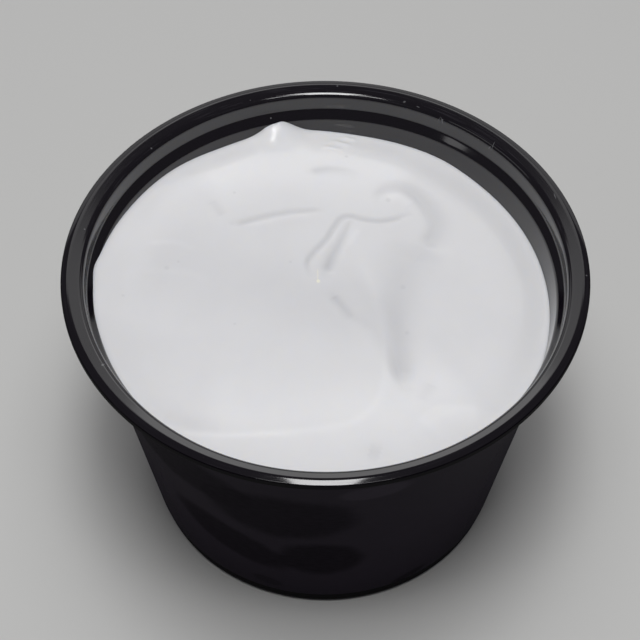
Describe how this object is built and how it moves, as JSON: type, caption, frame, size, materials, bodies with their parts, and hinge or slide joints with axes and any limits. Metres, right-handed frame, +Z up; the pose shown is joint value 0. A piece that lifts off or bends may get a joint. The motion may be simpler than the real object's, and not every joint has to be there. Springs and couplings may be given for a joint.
{
  "type": "sour cream tub",
  "caption": "Round tapered black plastic portion cup with a flat rim and a stacking ledge, open and filled with sour cream that has soft folds and a small dollop against the wall.",
  "frame": {"origin": "on the cup's axis, at the foot that it stands on", "axes": "+Z up along the cup's axis, +X towards the side where the cream is lowest, and the dollop against the wall is 13 degrees from +Y towards -X"},
  "size_m": [0.0734, 0.0734, 0.0468],
  "materials": {
    "black_plastic": "satin outside with finger smudges, glossy rim and inside",
    "sour_cream": "soft wet sheen"
  },
  "bodies": {
    "root": {"cup": "black_plastic", "sour_cream": "sour_cream"}
  },
  "joints": []
}
